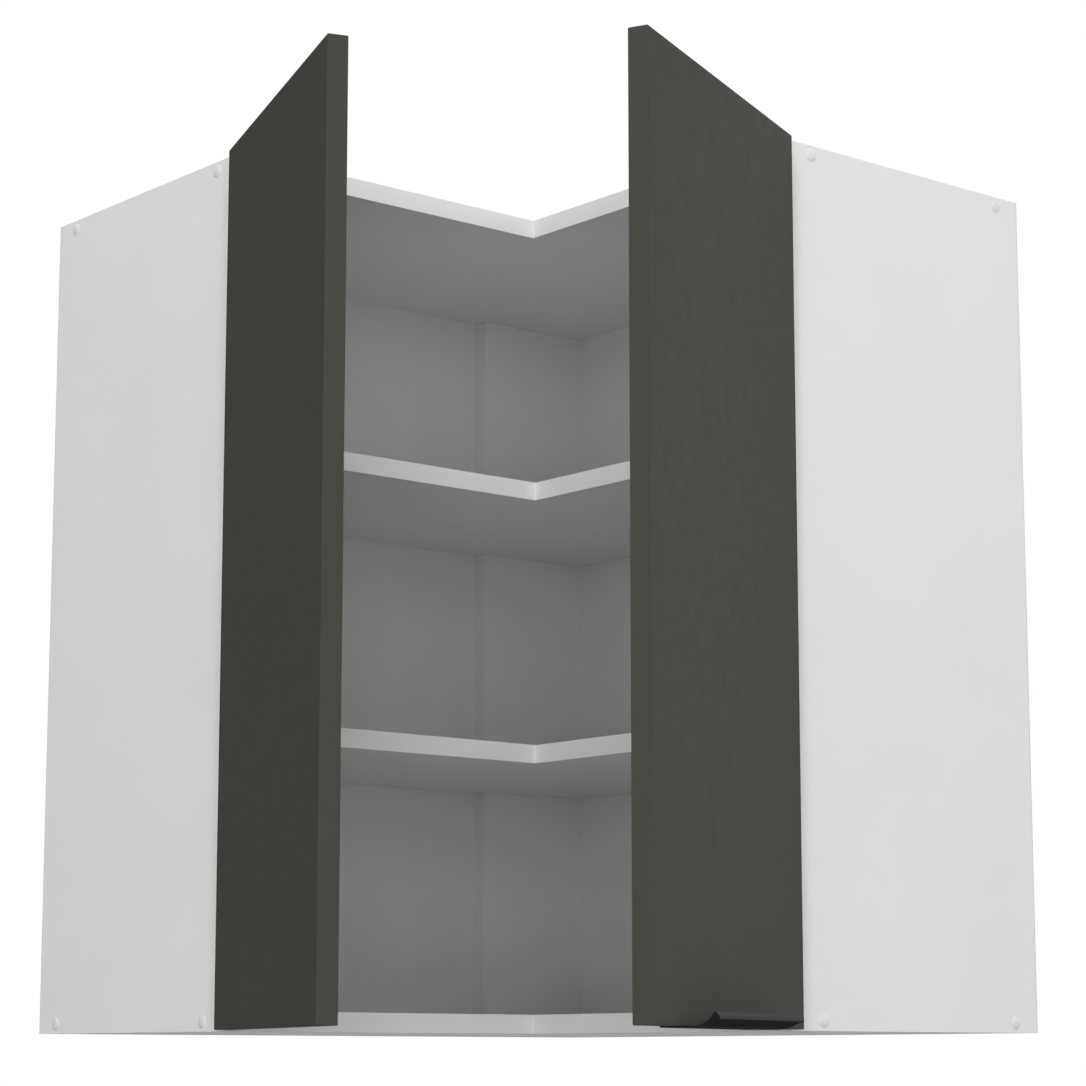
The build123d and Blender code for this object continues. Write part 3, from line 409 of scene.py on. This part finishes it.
lacquer = new_finish("matt olive grey lacquer", gloss=0.008)
door_dark = tuple((1 - DOOR_WANDER) * c for c in DOOR_COLOUR)
door_pale = tuple((1 + DOOR_WANDER) * c for c in DOOR_COLOUR)
finish_with(lacquer, clouded(lacquer, 0.16, door_dark, door_pale),
            roughness=spread(lacquer, noise(lacquer, 0.012), 0.6, 0.68),
            heights=noise(lacquer, 0.0009, detail=2), depth=0.00003, strength=0.5)

# %% [markdown]
# ## Where things face
# The grip and many of the screws need a direction. Each end has its own inward and forward
# direction, and each open door its own normal, which points to the door's inner face.

# %% Directions at each end
LEFT_OPEN, RIGHT_OPEN = math.radians(110), math.radians(114)
UP = Vector((0, 0, 1))
INWARD = {"left": Vector((0, 1, 0)), "right": Vector((-1, 0, 0))}
FORWARD = {"left": Vector((1, 0, 0)), "right": Vector((0, -1, 0))}
DOOR_INSIDE = {
    "left": Vector((-math.cos(LEFT_OPEN), math.sin(LEFT_OPEN), 0)),
    "right": Vector((-math.sin(RIGHT_OPEN), math.cos(RIGHT_OPEN), 0)),
}
print("door normals:", {end: [round(c, 3) for c in v] for end, v in DOOR_INSIDE.items()})

# %% [markdown]
# ## Black grip
# The grip under the right door is an aluminium profile with a black powder coat. The outer face of
# its lip is painted a shade lighter than the rest: a painted sheen, for the white surroundings that
# the lip mirrors. The sheen could be painted on by hand, but it is simply where the surface faces
# outward and up, so the surface's own direction, in the grip's coordinates, says where it is.

# %% Black powder coat with a painted sheen on the lip
COAT_DARK, COAT_PALE = (0.0155, 0.0155, 0.016), (0.0175, 0.0175, 0.018)
# painted sheen: the lighter colour of the lip's outer face, standing in for reflected light
COAT_PAINTED_SHEEN = (0.058, 0.058, 0.0595)
LIP_OUTWARD, LIP_UPWARD = 0.75, 0.66
LIP_FACES = -LIP_OUTWARD * DOOR_INSIDE["right"] + LIP_UPWARD * UP

coat = new_finish("black powder coat", gloss=0.001)
grit = noise(coat, 0.0006, detail=2)
coords = coat.node_tree.nodes.new("ShaderNodeTexCoord")
facing = coat.node_tree.nodes.new("ShaderNodeVectorMath")
facing.operation = "DOT_PRODUCT"
facing.inputs[1].default_value = LIP_FACES
coat.node_tree.links.new(coords.outputs["Normal"], facing.inputs[0])
# the painted sheen grows where the surface faces outward and up, as a reflection of the surroundings
# would
painted_sheen = spread(coat, facing.outputs["Value"], 0, 1, start=0.3, end=1.0)
finish_with(coat, mixed(coat, painted_sheen, clouded(coat, 0.02, COAT_DARK, COAT_PALE), COAT_PAINTED_SHEEN),
            roughness=spread(coat, grit, 0.55, 0.66),
            heights=grit, depth=0.00004, strength=0.6)
print("lip faces:", [round(c, 2) for c in LIP_FACES])

# %% [markdown]
# ## Small parts
# The caps and hangers are moulded plastic and the bumpers are soft clear rubber. Each keeps one
# recipe: a colour that wanders a little, a gloss that wanders too, and a fine surface at the scale
# of its making.

# %% Plastics and rubber
cap_plastic = new_finish("cap plastic", gloss=0.01)
finish_with(cap_plastic, clouded(cap_plastic, 0.004, (0.765, 0.765, 0.762), (0.785, 0.785, 0.782)),
            roughness=spread(cap_plastic, noise(cap_plastic, 0.002), 0.45, 0.55),
            heights=noise(cap_plastic, 0.0007, detail=2), depth=0.00002, strength=0.4)

rubber = new_finish("clear grey rubber")
finish_with(rubber, clouded(rubber, 0.003, (0.32, 0.32, 0.31), (0.42, 0.42, 0.41)),
            roughness=spread(rubber, noise(rubber, 0.001), 0.35, 0.5),
            heights=noise(rubber, 0.0006), depth=0.00002, strength=0.4)

hanger_plastic = new_finish("white hanger plastic", gloss=0.45)
finish_with(hanger_plastic,
            clouded(hanger_plastic, 0.01, (0.72, 0.72, 0.70), (0.77, 0.77, 0.75)),
            roughness=spread(hanger_plastic, noise(hanger_plastic, 0.004), 0.34, 0.46),
            heights=noise(hanger_plastic, 0.001, detail=2), depth=0.00003, strength=0.5)

# %% [markdown]
# The dowels are beech rods that lie level, some along X and some along Y. The noise is drawn out
# along both and stays fine upright, which reads as grain along each rod.

# %% Beech
beech = new_finish("beech", gloss=0.3)
finish_with(beech, clouded(beech, 0.0012, (0.44, 0.27, 0.14), (0.62, 0.43, 0.26),
                           stretch=(8, 8, 1), detail=4),
            roughness=spread(beech, noise(beech, 0.002), 0.55, 0.7),
            heights=noise(beech, 0.0008, (6, 6, 1)), depth=0.00005, strength=0.6)

# %% [markdown]
# The ironware is plated steel. It is smooth, so its gloss may wander only a little. A wide range
# would show as dark specks, like pits, where single glossy spots mirror the shade inside.

# %% Metals
def plated(name, dark, pale, low, high):
    """Steel with a faint cloud in its plating and a fine scratch all over."""
    finish = new_finish(name, metal=1.0)
    scratch = noise(finish, 0.0005, (1, 6, 1), turn=(0.3, 0.5, 0.2))
    finish_with(finish, clouded(finish, 0.008, dark, pale),
                roughness=spread(finish, scratch, low, high, start=0.2, end=0.8),
                heights=scratch, depth=0.00001, strength=0.3)
    return finish


nickel = plated("satin nickel plate", (0.50, 0.49, 0.46), (0.60, 0.59, 0.565), 0.31, 0.35)
zinc = plated("bright zinc plate", (0.52, 0.53, 0.54), (0.66, 0.67, 0.68), 0.33, 0.38)

# %% [markdown]
# ## Dress the solids
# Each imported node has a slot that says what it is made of. The table below says which finish each
# slot gets, so no node is left with a plain colour.

# %% Give every node its finish
FINISH_OF_SLOT = {
    "melamine_board": melamine, "edge_banding": banding, "hardboard": hardboard,
    "door_lacquer": lacquer, "handle_metal": coat, "cap_plastic": cap_plastic,
    "bumper_rubber": rubber, "dowel_wood": beech, "support_steel": nickel,
    "hanger_plastic": hanger_plastic, "zinc_screws": zinc, "nickel_steel": nickel,
}


def give_finish(piece, slot):
    """Replaces a piece's material by its slot's finish."""
    piece.data.materials.clear()
    piece.data.materials.append(FINISH_OF_SLOT[slot])


for part in subparts:
    give_finish(nodes[part["node"]], part["material_slot"])
print("dressed nodes:", len(subparts))

# %% [markdown]
# ## Tools for modelling
# New pieces are modelled as by hand, with the edit-mode operators. An operator acts on all that is
# selected, so each step first deselects everything and then selects its own faces by the way that
# they look. A modifier's result is applied, so that the mesh itself has the shape.

# %% Helpers for modelling
TOP, BOTTOM = 1, -1
LEVEL = 0.9  # a face is level when its normal is at least this upright


def only(piece):
    """Selects this piece alone and makes it the active one."""
    if bpy.context.object and bpy.context.object.mode != "OBJECT":
        bpy.ops.object.mode_set(mode="OBJECT")
    bpy.ops.object.select_all(action="DESELECT")
    piece.select_set(True)
    bpy.context.view_layer.objects.active = piece


def pick(piece, side):
    """In edit mode, selects the level faces that look up (TOP) or down (BOTTOM)."""
    only(piece)
    bpy.ops.object.mode_set(mode="EDIT")
    bpy.ops.mesh.select_mode(type="FACE")
    bpy.ops.mesh.select_all(action="DESELECT")
    mesh = bmesh.from_edit_mesh(piece.data)
    for face in mesh.faces:
        face.select_set(side * face.normal.z > LEVEL)
    bmesh.update_edit_mesh(piece.data)


def apply(piece, kind, **settings):
    """Adds a modifier with its settings and applies it."""
    only(piece)
    modifier = piece.modifiers.new(kind.lower(), kind)
    for name, value in settings.items():
        setattr(modifier, name, value)
    bpy.ops.object.modifier_apply(modifier=modifier.name)


def smooth(piece, degrees):
    """Smooth shading that stays crisp along edges sharper than an angle."""
    only(piece)
    bpy.ops.object.shade_smooth_by_angle(angle=math.radians(degrees))


print("helpers ready:", only.__name__, pick.__name__, apply.__name__, smooth.__name__)

# %% [markdown]
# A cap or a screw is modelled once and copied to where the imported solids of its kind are. One node
# holds several of them, so its mesh is first split into its separate solids, and each one's centre
# line and outer end give a seat.

# %% Find the seats
SAME_POINT = 1e-6  # m


def solids_of(name):
    """The corner points of each separate solid of a node, in the order of its mesh."""
    mesh = bmesh.new()
    mesh.from_mesh(nodes[name].data)
    bmesh.ops.remove_doubles(mesh, verts=mesh.verts, dist=SAME_POINT)
    left = set(mesh.verts)
    found = []
    for start in mesh.verts:
        if start not in left:
            continue
        left.discard(start)
        island, rim = [], [start]
        while rim:
            point = rim.pop()
            island.append(point.co.copy())
            for edge in point.link_edges:
                other = edge.other_vert(point)
                if other in left:
                    left.discard(other)
                    rim.append(other)
        found.append(island)
    mesh.free()
    return found


def seats(name, outward):
    """Where the top of each round solid of a node is, on its own centre line."""
    across = outward.orthogonal().normalized()
    along = outward.cross(across)
    places = []
    for points in solids_of(name):
        middle = []
        for axis in (across, along):
            spans = [point.dot(axis) for point in points]
            middle.append((min(spans) + max(spans)) / 2)
        top = max(point.dot(outward) for point in points)
        places.append(across * middle[0] + along * middle[1] + outward * top)
    return places


print("caps on the left side:", len(seats("left_screw_caps", -INWARD["left"])))

# %% [markdown]
# Small ironware is modelled at one unit to the millimetre, where the tools are at their most exact,
# and shrunk to metres when it is put in place. Every finished piece rides on a body, so that it
# moves with it, and replaces the plain node it stands for.

# %% Put copies in their seats
MILLIMETRE = 0.001


def put_on(piece, body, slot, replaced):
    """A finished piece gets its slot's finish, rides its body and stands for the node it replaces.
    """
    give_finish(piece, slot)
    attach(piece, body)
    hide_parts(replaced)


def stand(model, outward, place):
    """A copy of a model's mesh with its +Z turned outward and its origin at a place."""
    turn = Vector((0, 0, 1)).rotation_difference(outward).to_matrix().to_4x4()
    mesh = model.data.copy()
    mesh.transform(Matrix.Translation(place) @ turn @ Matrix.Scale(MILLIMETRE, 4))
    return mesh


def copies(name, meshes, body, slot, replaced):
    """One piece made of a model's placed copies."""
    bpy.ops.object.select_all(action="DESELECT")
    for mesh in meshes:
        copy = bpy.data.objects.new(name, mesh)
        scene.collection.objects.link(copy)
        copy.select_set(True)
        if mesh is meshes[0]:
            bpy.context.view_layer.objects.active = copy
    if len(meshes) > 1:
        bpy.ops.object.join()
    put_on(bpy.context.view_layer.objects.active, body, slot, replaced)
    print(name, "copies:", len(meshes))


print("helpers ready:", put_on.__name__, stand.__name__, copies.__name__)

# %% [markdown]
# ## Cover caps
# Four plastic caps on each side hide the screws that hold the sides. A cap is a low dome on a thin
# foot that sits on the board. It could be cut from a sphere, but then its rim would be as round as
# its crown. Here the top face of a flat cylinder is inset and raised four times, flatter each
# time, so the crown is nearly flat and the rim falls away quickly. Smooth shading hides the steps.

# %% Model one cover cap
CAP_RADIUS = 5.4  # all in mm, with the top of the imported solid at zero
CAP_BASE = -2.6
CAP_FOOT = 0.12
CAP_STEPS = ((0.6, 0.25), (1.0, 0.28), (1.4, 0.22), (1.5, 0.08))  # inset and rise

bpy.ops.object.select_all(action="DESELECT")
bpy.ops.mesh.primitive_cylinder_add(vertices=48, radius=CAP_RADIUS, depth=CAP_FOOT,
                                    location=(0, 0, CAP_BASE + CAP_FOOT / 2))
cap = bpy.context.object
cap.name = "cap model"
bpy.ops.object.transform_apply(location=True, rotation=True, scale=True)
pick(cap, TOP)
for inset, rise in CAP_STEPS:
    bpy.ops.mesh.inset(thickness=inset)
    bpy.ops.transform.translate(value=(0, 0, rise))
bpy.ops.object.mode_set(mode="OBJECT")
smooth(cap, 50)
cap_top = max(point.co.z for point in cap.data.vertices)
print("cap points:", len(cap.data.vertices), "height in mm:", round(cap_top - CAP_BASE, 2))

# %% [markdown]
# The caps of both sides are copies of this one, turned outward. The model itself isn't part of the
# cabinet, so it is removed, as every model is once its copies are placed.

# %% Put the caps on both sides
for end in ("left", "right"):
    outward = -INWARD[end]
    placed = [stand(cap, outward, place) for place in seats(f"{end}_screw_caps", outward)]
    copies(f"{end}_cover_caps", placed, "carcass", "cap_plastic", f"{end}_screw_caps")
bpy.data.objects.remove(cap)

# %% [markdown]
# ## Screws with a cross recess
# Plate, arm, cup, hanger, grip and corner screws all have the same kind of head: a low dome with
# a cross recess for the driver. The recess is cut by two tapered bars, as the punch makes it. A
# bump in the material would be quicker, but it would be flat in the mesh.

# %% Cut one bar of a recess
BAR_WIDTH, BAR_HEIGHT, BAR_TAPER = 0.24, 0.8, 0.45  # of the recess's length


def cut_bar(screw, recess, turn):
    """Cuts one tapered bar of the cross recess."""
    bpy.ops.object.select_all(action="DESELECT")
    bpy.ops.mesh.primitive_cube_add(size=1, location=(0, 0, 0), rotation=(0, 0, turn))
    bar = bpy.context.object
    bar.scale = (recess, recess * BAR_WIDTH, recess * BAR_HEIGHT)
    bpy.ops.object.transform_apply(location=True, rotation=True, scale=True)
    pick(bar, BOTTOM)
    bpy.ops.transform.resize(value=(BAR_TAPER, BAR_TAPER, 1))
    bpy.ops.object.mode_set(mode="OBJECT")
    apply(screw, "BOOLEAN", operation="DIFFERENCE", object=bar, solver="EXACT")
    bpy.data.objects.remove(bar)


print("helper ready:", cut_bar.__name__)

# %% [markdown]
# The head and the shaft are drawn out of one short cylinder. Its top face is inset and raised into
# a dome, and its bottom face is inset to the shaft and extruded down, the last part to a point.

# %% Model one screw
RIM = 0.45  # share of the head's height that is straight
HEAD_STEPS = ((0.06, 0.24), (0.1, 0.17), (0.16, 0.14))  # inset and rise, as shares of the head
POINT_LENGTH = 0.8  # in shaft diameters
POINT_WIDTH = 0.25  # of the shaft


def screw_model(name, head, head_height, shaft, length, recess):
    """A screw in millimetres, its head's top at the origin, pointing down."""
    bpy.ops.object.select_all(action="DESELECT")
    bpy.ops.mesh.primitive_cylinder_add(vertices=36, radius=head / 2, depth=head_height * RIM,
                                        location=(0, 0, -head_height * (1 - RIM / 2)))
    screw = bpy.context.object
    screw.name = name
    bpy.ops.object.transform_apply(location=True, rotation=True, scale=True)
    pick(screw, TOP)
    for inset, rise in HEAD_STEPS:
        bpy.ops.mesh.inset(thickness=inset * head / 2)
        bpy.ops.transform.translate(value=(0, 0, rise * head_height))
    pick(screw, BOTTOM)
    bpy.ops.mesh.inset(thickness=(head - shaft) / 2)
    point = shaft * POINT_LENGTH
    for down in (length - point, point):
        bpy.ops.mesh.extrude_region_move(TRANSFORM_OT_translate={"value": (0, 0, -down)})
    bpy.ops.transform.resize(value=(POINT_WIDTH, POINT_WIDTH, 1))
    bpy.ops.object.mode_set(mode="OBJECT")
    for turn in (0, math.pi / 2):
        cut_bar(screw, recess, turn)
    smooth(screw, 40)
    print(name, "points:", len(screw.data.vertices))
    return screw


print("helper ready:", screw_model.__name__)

# %% [markdown]
# The hinges and the hangers have the same screws at both ends. Each end turns them its own way: the
# cup screws point out of the open door's inner face, and the others out of the side or forward.

# %% Screws of the hinges and hangers
SCREWS = {
    # part: head, head height, shaft, length and recess in mm, direction, whether on a door
    "hinge_plate_screws": (6.5, 0.9, 3.4, 13.0, 3.3, INWARD, False),
    "hinge_arm_screws": (8.0, 2.0, 4.9, 6.0, 4.2, INWARD, False),
    "hinge_cup_screws": (6.5, 0.9, 2.9, 12.0, 3.3, DOOR_INSIDE, True),
    "hanger_screws": (9.0, 2.0, 5.8, 16.0, 4.6, FORWARD, False),
}
for part, (head, head_height, shaft, length, recess, directions, on_door) in SCREWS.items():
    model = screw_model(part, head, head_height, shaft, length, recess)
    for end, outward in directions.items():
        body = f"{end}_door" if on_door else "carcass"
        placed = [stand(model, outward, place) for place in seats(f"{end}_{part}", outward)]
        copies(f"{end}_{part}_cross", placed, body, "zinc_screws", f"{end}_{part}")
    bpy.data.objects.remove(model)

# %% [markdown]
# The grip's screws come up from below, black as the grip. Those of the corner board come from
# above and from below, so each takes its direction from the half of the cabinet that it is in.

# %% Screws of the grip and the corner board
model = screw_model("handle screw", 5.6, 0.9, 2.9, 15.1, 2.8)
placed = [stand(model, -UP, place) for place in seats("handle_screws", -UP)]
copies("handle_screws_cross", placed, "right_door", "handle_metal", "handle_screws")
bpy.data.objects.remove(model)

MID_HEIGHT = 0.3  # m
model = screw_model("corner screw", 9.0, 3.0, 4.9, 47.0, 4.4)
placed = []
for points in solids_of("corner_board_screws"):
    spans = [(min(p[axis] for p in points), max(p[axis] for p in points)) for axis in range(3)]
    middle = [(low + high) / 2 for low, high in spans]
    above = middle[2] > MID_HEIGHT
    place = Vector((middle[0], middle[1], spans[2][1] if above else spans[2][0]))
    placed.append(stand(model, UP if above else -UP, place))
copies("corner_screws_cross", placed, "carcass", "zinc_screws", "corner_board_screws")
bpy.data.objects.remove(model)

# %% [markdown]
# ## Softened ironware
# Pressed steel, moulded plastic and drawn aluminium have no knife edges, and a thin bright line
# along each edge is what tells them from a drawing. Each of these nodes is copied, its loose
# triangles are merged and its flat faces joined, and a small bevel rounds its edges. Where an edge
# is too short for the bevel, faces of no size are left behind, which a weld takes away.

# %% Soften the edges of a copy
FLAT = math.radians(1)
EDGE = math.radians(40)  # a sharper turn than this is an edge
SMOOTH_BELOW = 35  # degrees


def softened(name, width, body, slot, segments=2):
    """A copy of a node with its edges rounded by width metres, in the node's place."""
    piece = bpy.data.objects.new(name + "_soft", nodes[name].data.copy())
    scene.collection.objects.link(piece)
    only(piece)
    bpy.ops.object.mode_set(mode="EDIT")
    bpy.ops.mesh.select_all(action="SELECT")
    bpy.ops.mesh.remove_doubles(threshold=SAME_POINT)
    bpy.ops.mesh.dissolve_limited(angle_limit=FLAT)
    bpy.ops.object.mode_set(mode="OBJECT")
    apply(piece, "BEVEL", width=width, segments=segments, limit_method="ANGLE",
          angle_limit=EDGE, use_clamp_overlap=True)
    apply(piece, "WELD", merge_threshold=SAME_POINT)
    smooth(piece, SMOOTH_BELOW)
    apply(piece, "WEIGHTED_NORMAL", keep_sharp=True)
    put_on(piece, body, slot, name)
    print(name, "softened, points:", len(piece.data.vertices))


print("helper ready:", softened.__name__)

# %% [markdown]
# The rounds follow the making: 0.2 to 0.3 mm on the hinges' sheet and on the drawn grip, 0.4 mm on
# the thicker hooks and shelf supports, and 0.5 to 0.6 mm on what is moulded.

# %% Soften the ironware
softened("door_handle", 0.00025, "right_door", "handle_metal")
for end in ("left", "right"):
    softened(f"{end}_hinge_plates", 0.0003, "carcass", "nickel_steel")
    softened(f"{end}_hinge_arms", 0.0003, "carcass", "nickel_steel")
    softened(f"{end}_hinge_cups", 0.0002, f"{end}_door", "nickel_steel")
    softened(f"{end}_hinge_links", 0.0002, f"{end}_hinge_links", "nickel_steel")
    softened(f"{end}_wall_hanger", 0.0005, "carcass", "hanger_plastic")
    softened(f"{end}_hanger_hook", 0.0004, "carcass", "nickel_steel")
    softened(f"{end}_door_bumpers", 0.0006, f"{end}_door", "bumper_rubber", 3)
for shelf in ("lower", "upper"):
    softened(f"{shelf}_shelf_supports", 0.0004, "carcass", "support_steel")

# %% [markdown]
# The doors' edges are sanded round before they are lacquered, by little more than half a
# millimetre. The edge bands are scraped after they are glued on, which leaves a much smaller round
# and a hairline where the band meets the board. Both are the same step as on the ironware.

# %% Sanded doors and scraped bands
SANDED, SCRAPED = 0.0006, 0.00015  # m

for end in ("left", "right"):
    softened(f"{end}_door", SANDED, f"{end}_door", "door_lacquer", 3)
for board in ("left_side", "right_side", "top", "bottom", "upper_shelf", "lower_shelf"):
    softened(f"{board}_edge_band", SCRAPED, "carcass", "edge_banding")
